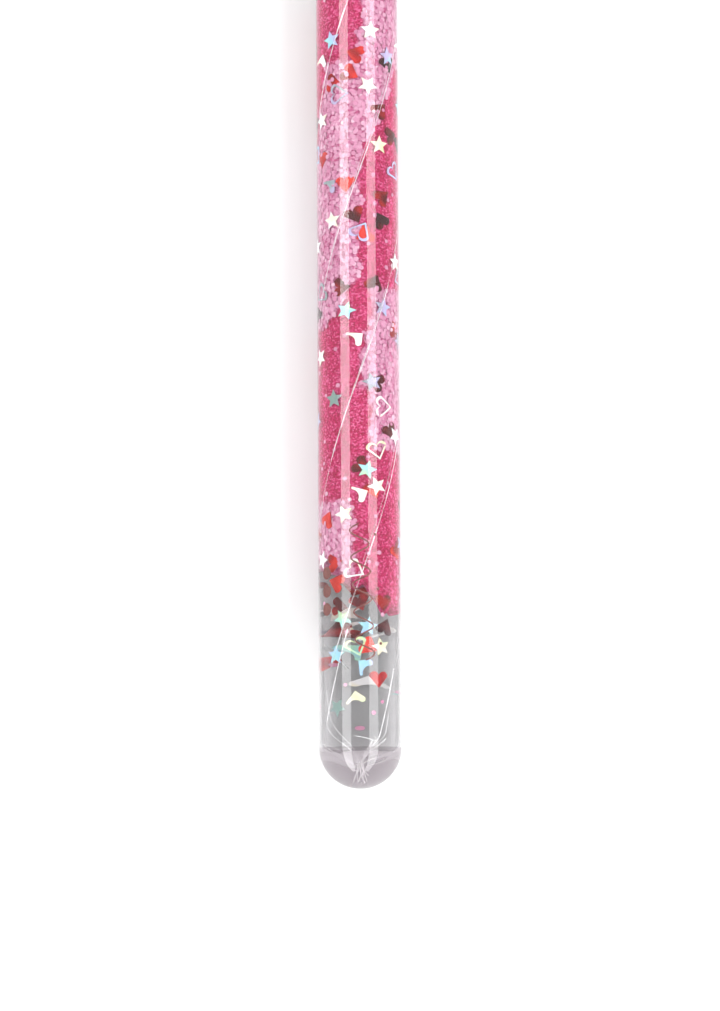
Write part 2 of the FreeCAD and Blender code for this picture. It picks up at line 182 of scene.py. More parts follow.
milky_polypropylene = moulded_polypropylene("polypropylene_milky", "#B8B8BB", "#CACACC", 0.3)
white_polypropylene = moulded_polypropylene("polypropylene_white", "#C4C4C2", "#D0D0CE", 0.1)
dress(milky_polypropylene, "refill_tube", "refill_well", "chamber_plug")
dress(white_polypropylene, "refill_end_plug", "refill_socket", "cap_inner_seal", "ink_follower")
dress(gel_ink(), "gel_ink")
dress(turned_metal("nickel_silver_turned", "#B9B3A6", "#D8D3C8", 0.22), "writing_tip")
dress(turned_metal("carbide_ground", "#6E6F73", "#8B8C91", 0.15), "writing_ball")


# ---------------------------------------------------------------------------------------------
# Front section: white moulded section with its thread and collar, ribbed rubber grip and
# screwed nose. The pieces are turned shapes, and here they are only given their materials.

(tube_low, tube_high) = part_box("barrel_tube")
AXIS_X = (tube_low.x + tube_high.x) / 2
AXIS_Z = (tube_low.z + tube_high.z) / 2
TAIL_Y = tube_low.y
BARREL_RADIUS = (tube_high.x - tube_low.x) / 2 / MM
BARREL_LENGTH = (tube_high.y - tube_low.y) / MM


def station(node, end):
    """Distance in mm from the tail's pole to a node's rear (0) or front (1) end."""
    return (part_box(node)[end].y - TAIL_Y) / MM


def radius_of(node):
    """Outside radius in mm of a node that is round about the pen's axis."""
    low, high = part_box(node)
    return (high.z - low.z) / 2 / MM


def at(along, radius, angle):
    """Point at a distance from the tail and a radius, in mm, and an angle in degrees from the top."""
    turn = math.radians(angle)
    return Vector(
        (AXIS_X + radius * MM * math.sin(turn), TAIL_Y + along * MM, AXIS_Z + radius * MM * math.cos(turn))
    )


def new_piece(name, points, faces, body, materials, sharp=35):
    """Mesh piece that rides on a body, smooth except at edges sharper than an angle."""
    mesh = bpy.data.meshes.new(name)
    mesh.from_pydata([tuple(p) for p in points], [], faces)
    mesh.validate()
    for material in materials:
        mesh.materials.append(material)
    mesh.shade_smooth()
    mesh.set_sharp_from_angle(angle=math.radians(sharp))
    piece = bpy.data.objects.new(name, mesh)
    bpy.context.scene.collection.objects.link(piece)
    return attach(piece, body)


def turned_piece(name, profile, body, materials, segments=160, slots=None, closed=True):
    """Piece turned about the pen's axis from (distance, radius) points; slots gives a material per span."""
    points = []
    rings = []
    for along, radius in profile:
        if radius < 0.001:
            rings.append([len(points)] * segments)
            points.append(at(along, 0, 0))
        else:
            rings.append(range(len(points), len(points) + segments))
            points.extend(at(along, radius, 360 * k / segments) for k in range(segments))
    faces = []
    face_slots = []
    spans = len(profile) if closed else len(profile) - 1
    for span in range(spans):
        one, two = rings[span], rings[(span + 1) % len(rings)]
        if one[0] == one[1] and two[0] == two[1]:
            continue
        for k in range(segments):
            after = (k + 1) % segments
            corners = [one[k], one[after], two[after], two[k]]
            faces.append([c for i, c in enumerate(corners) if c not in corners[:i]])
            face_slots.append(slots[span] if slots else 0)
    piece = new_piece(name, points, faces, body, materials)
    for polygon, slot in zip(piece.data.polygons, face_slots):
        polygon.material_index = slot
    return piece


def arc(centre, radius, start, end, steps):
    """Profile points on an arc round a (distance, radius) centre, between two angles in degrees."""
    for k in range(steps + 1):
        angle = math.radians(start + (end - start) * k / steps)
        yield centre[0] + radius * math.cos(angle), centre[1] + radius * math.sin(angle)


def moulded_plastic(name, dark, light, roughness, sparkle=0.0):
    """Polystyrene or ABS, injection moulded and polished: even colour, clear gloss, slight waviness."""
    material, tree = start_material(name)
    place = add(tree, "ShaderNodeTexCoord").outputs["Object"]
    cloud = add(tree, "ShaderNodeTexNoise", {"Vector": place, "Scale": 160.0, "Detail": 5.0})
    tint = ramp(
        add(tree, "ShaderNodeValToRGB", {"Fac": cloud.outputs["Fac"]}), ((0.3, dark), (0.7, light))
    )
    pearl = add(
        tree, "ShaderNodeTexVoronoi", {"Vector": place, "Scale": 9000.0}, feature="F1"
    )
    flake = add(
        tree,
        "ShaderNodeMapRange",
        {"Value": pearl.outputs["Distance"], "From Max": 0.5, "To Min": 1.0, "To Max": 1.0 - sparkle},
    )
    shade = add(
        tree,
        "ShaderNodeMix",
        {"Factor": flake.outputs["Result"], 6: linear("#FFFFFF"), 7: tint.outputs["Color"]},
        data_type="RGBA",
    )
    wave = add(tree, "ShaderNodeTexNoise", {"Vector": place, "Scale": 350.0, "Detail": 1.0})
    bump = add(
        tree, "ShaderNodeBump", {"Height": wave.outputs["Fac"], "Strength": 0.05, "Distance": 0.05 * MM}
    )
    shader = add(
        tree,
        "ShaderNodeBsdfPrincipled",
        {
            "Base Color": shade.outputs[2],
            "Roughness": roughness,
            "Normal": bump.outputs["Normal"],
            "IOR": 1.5,
            "Coat Weight": 0.4,
            "Coat Roughness": 0.06,
            "Subsurface Weight": 0.08,
            "Subsurface Scale": 0.8 * MM,
        },
    )
    add(tree, "ShaderNodeOutputMaterial", {"Surface": shader.outputs["BSDF"]})
    return material


def ribbed_rubber(name, dark, light):
    """Soft moulded rubber: matt, slightly dusty skin with a fine grain."""
    material, tree = start_material(name)
    place = add(tree, "ShaderNodeTexCoord").outputs["Object"]
    grain = add(tree, "ShaderNodeTexNoise", {"Vector": place, "Scale": 6000.0, "Detail": 3.0})
    dust = add(tree, "ShaderNodeTexNoise", {"Vector": place, "Scale": 300.0, "Detail": 4.0})
    tint = ramp(
        add(tree, "ShaderNodeValToRGB", {"Fac": dust.outputs["Fac"]}), ((0.35, dark), (0.7, light))
    )
    bump = add(
        tree, "ShaderNodeBump", {"Height": grain.outputs["Fac"], "Strength": 0.3, "Distance": 0.02 * MM}
    )
    shader = add(
        tree,
        "ShaderNodeBsdfPrincipled",
        {
            "Base Color": tint.outputs["Color"],
            "Roughness": 0.55,
            "Normal": bump.outputs["Normal"],
            "Sheen Weight": 0.15,
            "Subsurface Weight": 0.1,
            "Subsurface Scale": 0.7 * MM,
        },
    )
    add(tree, "ShaderNodeOutputMaterial", {"Surface": shader.outputs["BSDF"]})
    return material


white_plastic = moulded_plastic("polystyrene_white", "#C2C1C2", "#CFCECF", 0.22)
dress(white_plastic, "front_section", "nose_cone")
dress(ribbed_rubber("rubber_pink", "#B83E74", "#C95588"), "grip_sleeve")
dress(ribbed_rubber("rubber_clear_seal", "#B4B4B4", "#C6C6C6"), "chamber_seal", "section_seal")


# ---------------------------------------------------------------------------------------------
# Glitter filling: fine pink polyester glitter packed in clear gel round the well. Its rear end
# stops short of the tail on a slant, where the gel has settled.

FILL_REAR = station("glitter_fill", 0)
FILL_FRONT = station("glitter_fill", 1)
FILL_RADIUS = radius_of("glitter_fill")
FILL_ROUNDING = 1.2
FILL_SLANT_MIDDLE = FILL_REAR + 3.6
FILL_SLANT = 3.4
FILL_LUMPINESS = 0.04

# Patches where pale film dots have risen over the deep pink glitter: rear and front distance from the
# tail, then the low and high angle at the rear and at the front.
PALE_PATCHES = (
    (97.0, 108.0, -2, 170, 18, 190),
    (84.0, 97.0, -110, 4, -60, 90),
    (68.0, 84.0, -120, 2, -110, 4),
    (61.5, 68.0, -150, -62, -120, 2),
    (45.0, 66.5, 22, 110, 24, 130),
    (53.0, 60.5, 1, 30, 10, 30),
    (26.0, 38.0, -150, -9, -140, -12),
    (34.0, 50.0, 130, 235, 160, 250),
    (70.0, 82.0, 110, 190, 130, 220),
    (24.0, 33.0, 100, 180, 110, 190),
)
# Blur of a patch's border, in mm at its two ends and in degrees at its two sides.
PATCH_END_BLUR = 0.8
PATCH_SIDE_BLUR = 6


def paleness(along, angle):
    """How far inside the pale patches a place on the filling is: 0 outside, 1 well inside."""
    ripple = 4 * math.sin(1.3 * along) + 3 * math.sin(2.9 * along + 1)
    best = 0.0
    for rear, front, low_rear, high_rear, low_front, high_front in PALE_PATCHES:
        share = (along - rear) / (front - rear)
        end_depth = min(share, 1 - share) * (front - rear) / PATCH_END_BLUR
        low = low_rear + (low_front - low_rear) * share + ripple
        high = high_rear + (high_front - high_rear) * share + ripple
        for turn in (-360, 0, 360):
            side_depth = min(angle + turn - low, high - angle - turn) / PATCH_SIDE_BLUR
            best = max(best, min(end_depth + 0.5, side_depth + 0.5, 1.0))
    return best


def packed_glitter():
    """Packed fine glitter in gel: deep pink and grainy, paler where film dots lie among it."""
    material, tree = start_material("polyester_glitter_in_gel")
    place = add(tree, "ShaderNodeTexCoord").outputs["Object"]
    grain = add(tree, "ShaderNodeTexVoronoi", {"Vector": place, "Scale": 1 / (0.2 * MM)}, feature="F1")
    clump = add(
        tree,
        "ShaderNodeTexNoise",
        {"Vector": place, "Scale": 1 / (2.5 * MM), "Detail": 6.0, "Roughness": 0.7},
    )
    facet = add(tree, "ShaderNodeSeparateColor", {"Color": grain.outputs["Color"]})
    speck = add(
        tree,
        "ShaderNodeMix",
        {"Factor": 0.75, "A": clump.outputs["Fac"], "B": facet.outputs["Red"]},
        data_type="FLOAT",
    )
    deep = ramp(
        add(tree, "ShaderNodeValToRGB", {"Fac": speck.outputs["Result"]}),
        ((0.15, "#9E0A3E"), (0.4, "#B81654"), (0.62, "#CA2868"), (0.85, "#E2669A")),
    )
    pale = ramp(
        add(tree, "ShaderNodeValToRGB", {"Fac": speck.outputs["Result"]}),
        ((0.2, "#BC4C7E"), (0.5, "#CE789F"), (0.8, "#E0A0BE")),
    )
    settled = add(tree, "ShaderNodeAttribute", attribute_name="paleness")
    tint = add(
        tree,
        "ShaderNodeMix",
        {"Factor": settled.outputs["Fac"], 6: deep.outputs["Color"], 7: pale.outputs["Color"]},
        data_type="RGBA",
    )
    bump = add(
        tree,
        "ShaderNodeBump",
        {"Height": grain.outputs["Distance"], "Strength": 0.5, "Distance": 0.08 * MM},
    )
    shader = add(
        tree,
        "ShaderNodeBsdfPrincipled",
        {
            "Base Color": tint.outputs[2],
            "Roughness": 0.45,
            "Normal": bump.outputs["Normal"],
            "Specular IOR Level": 0.15,
        },
    )
    add(tree, "ShaderNodeOutputMaterial", {"Surface": shader.outputs["BSDF"]})
    return material


def fill_rear(angle):
    """Distance of the filling's rear edge from the tail: slanted, with small bays."""
    turn = math.radians(angle)
    bays = 0.5 * math.sin(5 * turn)
    return FILL_SLANT_MIDDLE - FILL_SLANT * math.sin(turn) + bays + 0.35 * math.sin(11 * turn)


def capped_rings(segments, rings):
    """Faces of a closed mesh whose points are one pole, then rings of points, then the other pole."""
    faces = [[0, 1 + (k + 1) % segments, 1 + k] for k in range(segments)]
    for ring in range(rings - 1):
        low = 1 + ring * segments
        for k in range(segments):
            after = (k + 1) % segments
            faces.append([low + k, low + after, low + segments + after, low + segments + k])
    pole = 1 + rings * segments
    low = pole - segments
    faces += [[low + k, low + (k + 1) % segments, pole] for k in range(segments)]
    return faces


def glitter_body():
    """The filling's skin: a rounded slanted rear, a lumpy side and a flat front, as one closed mesh."""
    grain = random.Random(7)
    segments, side_rings, round_rings = 120, 150, 8
    points = [at(FILL_SLANT_MIDDLE + FILL_ROUNDING, 0, 0)]
    tones = [0.0]
    for ring in range(round_rings + side_rings):
        for k in range(segments):
            angle = 360 * k / segments
            rear = fill_rear(angle) + FILL_ROUNDING
            if ring < round_rings:
                rise = math.radians(90 * (ring + 0.5) / round_rings)
                along = rear - FILL_ROUNDING * math.cos(rise)
                radius = FILL_RADIUS - FILL_ROUNDING * (1 - math.sin(rise))
            else:
                along = rear + (FILL_FRONT - rear) * (ring - round_rings) / (side_rings - 1)
                radius = FILL_RADIUS
            points.append(at(along, radius - FILL_LUMPINESS * grain.random(), angle))
            tones.append(paleness(along, angle))
    points.append(at(FILL_FRONT, 0, 0))
    tones.append(0.0)
    return points, capped_rings(segments, round_rings + side_rings), tones


def mark(piece, name, values):
    """Store a number for each point of a piece, for its material to read."""
    layer = piece.data.attributes.new(name, "FLOAT", "POINT")
    layer.data.foreach_set("value", values)


glitter_points, glitter_faces, glitter_tones = glitter_body()
glitter = new_piece(
    "glitter_gel", glitter_points, glitter_faces, "barrel", [packed_glitter()], sharp=80
)
mark(glitter, "paleness", glitter_tones)
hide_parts("glitter_fill")


# ---------------------------------------------------------------------------------------------
# Film dots: thousands of round dots punched from thin pale pink film, loose in the gel. They lie
# like scales over the glitter in the pale patches, and a few float alone.

DOT_COUNT = 5200
DOT_RADIUS = 0.29
DOT_THICKNESS = 0.02
DOT_CORNERS = 8
DOT_TILT = 0.07
DOT_LIFT = 0.03
DOT_LIFT_SPREAD = 0.06

# Dots outside the pale patches: the share that stays over the glitter, and in the clear tail.
STRAY_OVER_GLITTER = 0.012
STRAY_IN_TAIL = 0.002

# Dots that float clear of the layer: their share, and how much further out they are.
FLOATING_SHARE = 0.12
FLOATING_LIFT = 0.13


def punched_film():
    """Pearl film, punched: pale pink, with a random lighter or darker tone for each dot as painted light
    and shade for how it lies.
    """
    material, tree = start_material("polyester_film_pale_pink")
    lie = add(tree, "ShaderNodeAttribute", attribute_name="lie")
    tint = ramp(
        add(tree, "ShaderNodeValToRGB", {"Fac": lie.outputs["Fac"]}),
        ((0.0, "#C96A97"), (0.35, "#D686AB"), (0.75, "#E2A0BF"), (1.0, "#F0C6D9")),
    )
    shader = add(
        tree,
        "ShaderNodeBsdfPrincipled",
        {"Base Color": tint.outputs["Color"], "Roughness": 0.35, "Coat Weight": 0.2},
    )
    add(tree, "ShaderNodeOutputMaterial", {"Surface": shader.outputs["BSDF"]})
    return material


def add_dot(points, faces, along, angle, radius, size, tilt_along, tilt_round):
    """One dot as a thin closed disc, lying on the pen's curve and a little tilted."""
    turn = math.radians(angle)
    outward = Vector((math.sin(turn), 0, math.cos(turn)))
    forward = Vector((0, 1, 0))
    side = outward.cross(forward)
    corners = DOT_CORNERS
    start = len(points)
    for layer in (0, 1):
        for k in range(corners):
            swing = 2 * math.pi * k / corners
            run, reach = size * math.cos(swing), size * math.sin(swing)
            lift = run * tilt_along + reach * tilt_round + layer * DOT_THICKNESS
            points.append(at(along, radius, angle) + (forward * run + side * reach + outward * lift) * MM)
    faces.append([start + corners + k for k in range(corners)])
    faces.append([start + corners - 1 - k for k in range(corners)])
    for k in range(corners):
        after = (k + 1) % corners
        faces.append([start + k, start + after, start + corners + after, start + corners + k])


def film_dots():
    """Dots crowd the pale patches and thin out elsewhere."""
    draw = random.Random(11)
    points, faces, tones = [], [], []
    placed = 0
    while placed < DOT_COUNT:
        along = draw.uniform(8.0, FILL_FRONT - 0.6)
        angle = draw.uniform(-180, 180)
        over_glitter = along > fill_rear(angle) + 0.5
        crowd = max(paleness(along, angle), STRAY_OVER_GLITTER) if over_glitter else STRAY_IN_TAIL
        if draw.random() > crowd:
            continue
        radius = FILL_RADIUS + DOT_LIFT + DOT_LIFT_SPREAD * draw.random()
        if draw.random() < FLOATING_SHARE:
            radius += FLOATING_LIFT
        size = DOT_RADIUS * draw.uniform(0.8, 1.1)
        tilts = draw.gauss(0, DOT_TILT), draw.gauss(0, DOT_TILT)
        add_dot(points, faces, along, angle, radius, size, *tilts)
        # Painted light and shade: a random lighter or darker tone for each dot.
        tones += [draw.betavariate(2.5, 2)] * (2 * DOT_CORNERS)
        placed += 1
    return points, faces, tones


dot_points, dot_faces, dot_painted_light = film_dots()
dots = new_piece("film_dots", dot_points, dot_faces, "barrel", [punched_film()], sharp=30)
mark(dots, "lie", dot_painted_light)
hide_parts("dot_confetti")


# ---------------------------------------------------------------------------------------------
# Foil shapes: stars, hearts, outline hearts and boots stamped from holographic and lacquered foil,
# loose in the gel over the dots. Each keeps the place and curve that the design gives it.


def foil_shapes(node, name, material, near_tones, far_tones):
    """Copy a node's foil pieces and give each a tone; near_tones go from the front to the tail."""
    shapes = bmesh.new()
    shapes.from_mesh(nodes[node].data)
    bmesh.ops.remove_doubles(shapes, verts=shapes.verts, dist=0.0005 * MM)
    layer = shapes.verts.layers.float.new("tone")
    unseen = set(shapes.verts)
    islands = []
    for first in shapes.verts:
        if first not in unseen:
            continue
        unseen.discard(first)
        island, front = [], [first]
        while front:
            vertex = front.pop()
            island.append(vertex)
            for edge in vertex.link_edges:
                other = edge.other_vert(vertex)
                if other in unseen:
                    unseen.discard(other)
                    front.append(other)
        centre = sum((v.co for v in island), Vector()) / len(island)
        islands.append((centre, island))
    islands.sort(key=lambda item: -item[0].y)
    counts = {True: 0, False: 0}
    for centre, island in islands:
        near = centre.z > AXIS_Z
        tones = near_tones if near else far_tones
        for vertex in island:
            vertex[layer] = tones[counts[near] % len(tones)]
        counts[near] += 1
    mesh = bpy.data.meshes.new(name)
    shapes.to_mesh(mesh)
    shapes.free()
    mesh.materials.clear()
    mesh.materials.append(material)
    mesh.shade_smooth()
    mesh.set_sharp_from_angle(angle=math.radians(30))
    piece = bpy.data.objects.new(name, mesh)
    bpy.context.scene.collection.objects.link(piece)
    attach(piece, "barrel")
    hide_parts(node)
    return piece


def stamped_foil(name, stops, reflection_drift, metallic, roughness):
    """Stamped foil: a colour for each piece, shifted across it by a painted reflection."""
    material, tree = start_material(name)
    place = add(tree, "ShaderNodeTexCoord").outputs["Object"]
    tone = add(tree, "ShaderNodeAttribute", attribute_name="tone")
    # Painted reflection: soft noise shifts each piece's colour across it, where light would run over the
    # foil.
    wander = add(tree, "ShaderNodeTexNoise", {"Vector": place, "Scale": 1 / (1.6 * MM), "Detail": 0.0})
    offset = add(
        tree,
        "ShaderNodeMapRange",
        {
            "Value": wander.outputs["Fac"],
            "From Min": 0.3,
            "From Max": 0.7,
            "To Min": -reflection_drift,
            "To Max": reflection_drift,
        },
    )
    shifted = add(
        tree, "ShaderNodeMath", {0: tone.outputs["Fac"], 1: offset.outputs["Result"]}, operation="ADD"
    )
    tint = ramp(add(tree, "ShaderNodeValToRGB", {"Fac": shifted.outputs["Value"]}), stops)
    shader = add(
        tree,
        "ShaderNodeBsdfPrincipled",
        {
            "Base Color": tint.outputs["Color"],
            "Specular IOR Level": 0.2,
            "Metallic": metallic,
            "Roughness": roughness,
        },
    )
    add(tree, "ShaderNodeOutputMaterial", {"Surface": shader.outputs["BSDF"]})
    return material


# Painted reflection: the tints and greys of the white holographic foil stand for the light each piece
# throws back, one tone for each piece.
WHITE, CREAM, LEAF, MINT, SKY, LILAC, SILVER, SLATE = (k / 7 for k in range(8))
holographic = stamped_foil(
    "foil_white_holographic",
    (
        (0.0, "#FFFFFF"),
        (0.143, "#FFF6D8"),
        (0.286, "#D9F0B4"),
        (0.429, "#B4EEDC"),
        (0.571, "#A9DCF7"),
        (0.714, "#CDBFEA"),
        (0.857, "#AEB0BE"),
        (1.0, "#8BA59E"),
    ),
    0.1,
    0.0,
    0.35,
)
star_tones = (
    WHITE, SKY, LILAC, WHITE, WHITE, CREAM, WHITE, WHITE, LILAC, MINT, WHITE, SILVER,
    SLATE, WHITE, MINT, WHITE, CREAM, WHITE, MINT, SKY, CREAM, SKY, SLATE,
)
far_tones = (WHITE, SKY, CREAM, SILVER, MINT, WHITE, LILAC)
stars = foil_shapes("star_confetti", "foil_stars", holographic, star_tones, far_tones)
boots = foil_shapes(
    "boot_confetti",
    "foil_boots",
    holographic,
    (WHITE, SILVER, WHITE, WHITE, SKY, CREAM),
    far_tones,
)
outlines = foil_shapes(
    "open_heart_confetti",
    "foil_outline_hearts",
    holographic,
    (SILVER, LILAC, LILAC, SILVER, WHITE, CREAM, WHITE, LEAF),
    far_tones,
)

# Every heart is the same red lacquered foil: its blackish and maroon tones are painted shade and its coral
# tone is a painted highlight, one for each piece.
RED_DEEP_SHADE, RED_SHADE, RED, RED_HIGHLIGHT = 0.0, 0.33, 0.67, 1.0
lacquered = stamped_foil(
    "foil_red_lacquered",
    ((0.0, "#34080E"), (0.33, "#66080F"), (0.67, "#BE1014"), (1.0, "#E83A2C")),
    0.22,
    0.0,
    0.4,
)
hearts = foil_shapes(
    "heart_confetti",
    "foil_hearts",
    lacquered,
    (
        RED, RED_DEEP_SHADE, RED, RED, RED_SHADE, RED_SHADE, RED, RED_HIGHLIGHT, RED_SHADE, RED_SHADE, RED_DEEP_SHADE, RED_HIGHLIGHT, RED_SHADE,
        RED_SHADE, RED, RED_SHADE, RED_SHADE, RED_SHADE, RED, RED, RED, RED, RED_HIGHLIGHT, RED_SHADE, RED_SHADE, RED_SHADE,
        RED_DEEP_SHADE, RED_HIGHLIGHT, RED,
    ),
    (RED, RED_SHADE, RED_DEEP_SHADE, RED_SHADE),
)


# ---------------------------------------------------------------------------------------------
# Film sleeve: a clear polypropylene film bag that holds the gel. It is twisted, so that it creases
# along three long helical folds, and pinched into a knot in the tail's dome.

FOLD_LEAD = 81.0
FOLD_RADIUS = 4.38
BAG_RADIUS = 4.33
KNOT_ALONG = 3.9
KNOT_TIP = 2.2
SHOULDER_END = 5
SLEEVE_END = station("film_liner", 1) - 0.05
# Painted shade: the gel absorbs as a grey filter, so the clear tail and what lies behind it look grey.
GEL_SHADE_DENSITY = 70.0

# The film hangs loose from the tail up to about here, and is pressed flat past it.
LOOSE_END = 28
LOOSE_BLEND = 8


def film_bag_skin():
    """Clear film over gel: white film mixed in toward its outline is painted sheen, and in the loose tail
    film it forms painted light bands; the gel inside greys what lies behind as painted shade.
    """
    material, tree = start_material("polypropylene_film_over_gel")
    edge = add(tree, "ShaderNodeLayerWeight", {"Blend": 0.5})
    # Painted sheen: where the film is pressed flat, white film is mixed in toward its outline, by how
    # squarely it faces the view.
    pressed = ramp(
        add(tree, "ShaderNodeValToRGB", {"Fac": edge.outputs["Facing"]}),
        ((0.3, "#000000"), (0.4, "#585858"), (0.47, "#A0A0A0")),
    )
    # Painted light bands: where the film hangs loose in the tail, white film is mixed in as lighter and
    # darker bands, by how squarely it faces the view.
    free = ramp(
        add(tree, "ShaderNodeValToRGB", {"Fac": edge.outputs["Facing"]}),
        ((0.1, "#101010"), (0.22, "#606060"), (0.3, "#707070"), (0.34, "#404040"), (0.45, "#C0C0C0")),
    )
    loose = add(tree, "ShaderNodeAttribute", attribute_name="loose")
    painted_sheen = add(
        tree,
        "ShaderNodeMix",
        {"Factor": loose.outputs["Fac"], 6: pressed.outputs["Color"], 7: free.outputs["Color"]},
        data_type="RGBA",
    )
    clear = add(tree, "ShaderNodeBsdfTransparent")
    film = add(tree, "ShaderNodeBsdfPrincipled", {"Base Color": linear("#F4F2F4"), "Roughness": 0.3})
    path = add(tree, "ShaderNodeLightPath")
    unlit = add(tree, "ShaderNodeMath", {0: 1.0, 1: path.outputs["Is Shadow Ray"]}, operation="SUBTRACT")
    seen = add(
        tree,
        "ShaderNodeMath",
        {0: painted_sheen.outputs[2], 1: unlit.outputs["Value"]},
        operation="MULTIPLY",
    )
    mix = add(
        tree,
        "ShaderNodeMixShader",
        {"Fac": seen.outputs["Value"], 1: clear.outputs["BSDF"], 2: film.outputs["BSDF"]},
    )
    # Painted shade: grey absorption in the gel darkens the clear tail.
    gel = add(
        tree, "ShaderNodeVolumeAbsorption", {"Color": (0.5, 0.485, 0.48, 1.0), "Density": GEL_SHADE_DENSITY}
    )
    add(
        tree,
        "ShaderNodeOutputMaterial",
        {"Surface": mix.outputs["Shader"], "Volume": gel.outputs["Volume"]},
    )
    return material


def film_bag():
    """The bag's skin: knot, three-lobed shoulder and long side, as one closed mesh."""
    profile = [(KNOT_TIP, 0.35), (2.9, 0.28), (KNOT_ALONG - 0.3, 0.3)]
    shoulder_radii = (0.5, 0.9, 1.3, 1.8, 2.3, 2.8, 3.3, 3.7, 4.0)
    profile += [(KNOT_ALONG - 0.6 + 0.85 * math.sqrt(radius), radius) for radius in shoulder_radii]
    profile += [(5.5, BAG_RADIUS - 0.12), (6.2, BAG_RADIUS), (20, BAG_RADIUS), (24, BAG_RADIUS)]
    profile += [(LOOSE_END, BAG_RADIUS), (SLEEVE_END, BAG_RADIUS)]
    segments = 144
    points = [at(KNOT_TIP, 0, 0)]
    loose = [1.0]
    for along, radius in profile:
        depth = math.sin(math.pi * min(radius / BAG_RADIUS, 1)) if along < SHOULDER_END else 0
        for k in range(segments):
            angle = 360 * k / segments
            lobe = 0.45 * depth * math.sin(math.radians(3 * angle + 40))
            pleat = 0.05 * depth * math.sin(math.radians(19 * angle))
            points.append(at(along + lobe + pleat, radius, angle))
            loose.append(max(0.0, min(1.0, (LOOSE_END - along) / LOOSE_BLEND)))
    points.append(at(SLEEVE_END, 0, 0))
    loose.append(0.0)
    return points, capped_rings(segments, len(profile)), loose


def creased_film(name, clearness):
    """Clear film on edge: whitens where it is creased, and lets most light through elsewhere."""
    material, tree = start_material(name)
    place = add(tree, "ShaderNodeTexCoord").outputs["Object"]
    strain = add(tree, "ShaderNodeTexNoise", {"Vector": place, "Scale": 1 / (3.0 * MM), "Detail": 3.0})
    cover = add(
        tree,
        "ShaderNodeMapRange",
        {
            "Value": strain.outputs["Fac"],
            "From Min": 0.35,
            "From Max": 0.65,
            "To Min": 0.15 * (1 - clearness),
            "To Max": 1.3 * (1 - clearness),
        },
    )
    clear = add(tree, "ShaderNodeBsdfTransparent", {"Color": (1.0, 1.0, 1.0, 1.0)})
    film = add(
        tree,
        "ShaderNodeBsdfPrincipled",
        {"Base Color": linear("#FFFFFF"), "Roughness": 0.3, "Coat Weight": 0.3},
    )
    mix = add(
        tree,
        "ShaderNodeMixShader",
        {"Fac": cover.outputs["Result"], 1: clear.outputs["BSDF"], 2: film.outputs["BSDF"]},
    )
    add(tree, "ShaderNodeOutputMaterial", {"Surface": mix.outputs["Shader"]})
    return material


def fold_line(route, width):
    """Closed four-sided thread of film along (distance, radius, angle) places; width in mm."""
    points, faces = [], []
    places = [at(*place) for place in route]
    for index, place in enumerate(places):
        ahead = places[min(index + 1, len(places) - 1)]
        behind = places[max(index - 1, 0)]
        forward = (ahead - behind).normalized()
        outward = (place - Vector((AXIS_X, place.y, AXIS_Z))).normalized()
        side = forward.cross(outward).normalized()
        half = width * MM / 2
        for across, up in ((1, 0), (0, 1), (-1, 0), (0, -1)):
            points.append(place + side * across * half + outward * up * half * 0.8)
    for index in range(len(places) - 1):
        low = 4 * index
        for k in range(4):
            after = (k + 1) % 4
            faces.append([low + k, low + after, low + 4 + after, low + 4 + k])
    faces.append([3, 2, 1, 0])
    end = 4 * (len(places) - 1)
    faces.append([end, end + 1, end + 2, end + 3])
    return points, faces


def helix(start, end, at_top, radius, lead=FOLD_LEAD):
    """Places along a fold that passes the pen's top at one distance and turns once per lead."""
    steps = max(2, int((end - start) / 0.5))
    for k in range(steps + 1):
        along = start + (end - start) * k / steps
        yield along, radius, 360 * (along - at_top) / lead


def joined(parts):
    """Points and faces of several shells as one mesh."""
    points, faces = [], []
    for more_points, more_faces in parts:
        faces += [[index + len(points) for index in face] for face in more_faces]
        points += more_points
    return points, faces


def ease(a, b, share):
    """Move from one number to another with a soft start and end."""
    return a + (b - a) * (3 - 2 * share) * share * share


def gathered(start, wall_end, angle_start, angle_end, steps=30):
    """Last part of a fold: along the wall, then in to the knot."""
    for k in range(steps + 1):
        share = k / steps
        along = start + (KNOT_ALONG - start) * share
        inward = 0.0 if along > wall_end else (wall_end - along) / (wall_end - KNOT_ALONG)
        yield along, ease(FOLD_RADIUS - 0.1, 0.25, inward), angle_start + (angle_end - angle_start) * share


bag_points, bag_faces, bag_loose = film_bag()
bag = new_piece("film_bag", bag_points, bag_faces, "barrel", [film_bag_skin()], sharp=60)
mark(bag, "loose", bag_loose)
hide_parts("film_liner")
folds = []
for start_count in range(-1, 4):
    at_top = FOLD_LEAD * start_count / 3 + 0.5
    folds.append(fold_line(list(helix(16.0, SLEEVE_END - 0.3, at_top, FOLD_RADIUS)), 0.14))
fine_creases = ((54.9, 42, 66), (28.6, 30, 52), (82.3, 70, 98), (1.6, 17, 24), (109.0, 86, 104))
for at_top, rear, front in fine_creases:
    folds.append(fold_line(list(helix(rear, front, at_top, FOLD_RADIUS - 0.1, 1.02 * FOLD_LEAD)), 0.05))
fold_points, fold_faces = joined(folds)
film = creased_film("polypropylene_film_crease", 0.45)
film_folds = new_piece("film_folds", fold_points, fold_faces, "barrel", [film], sharp=20)

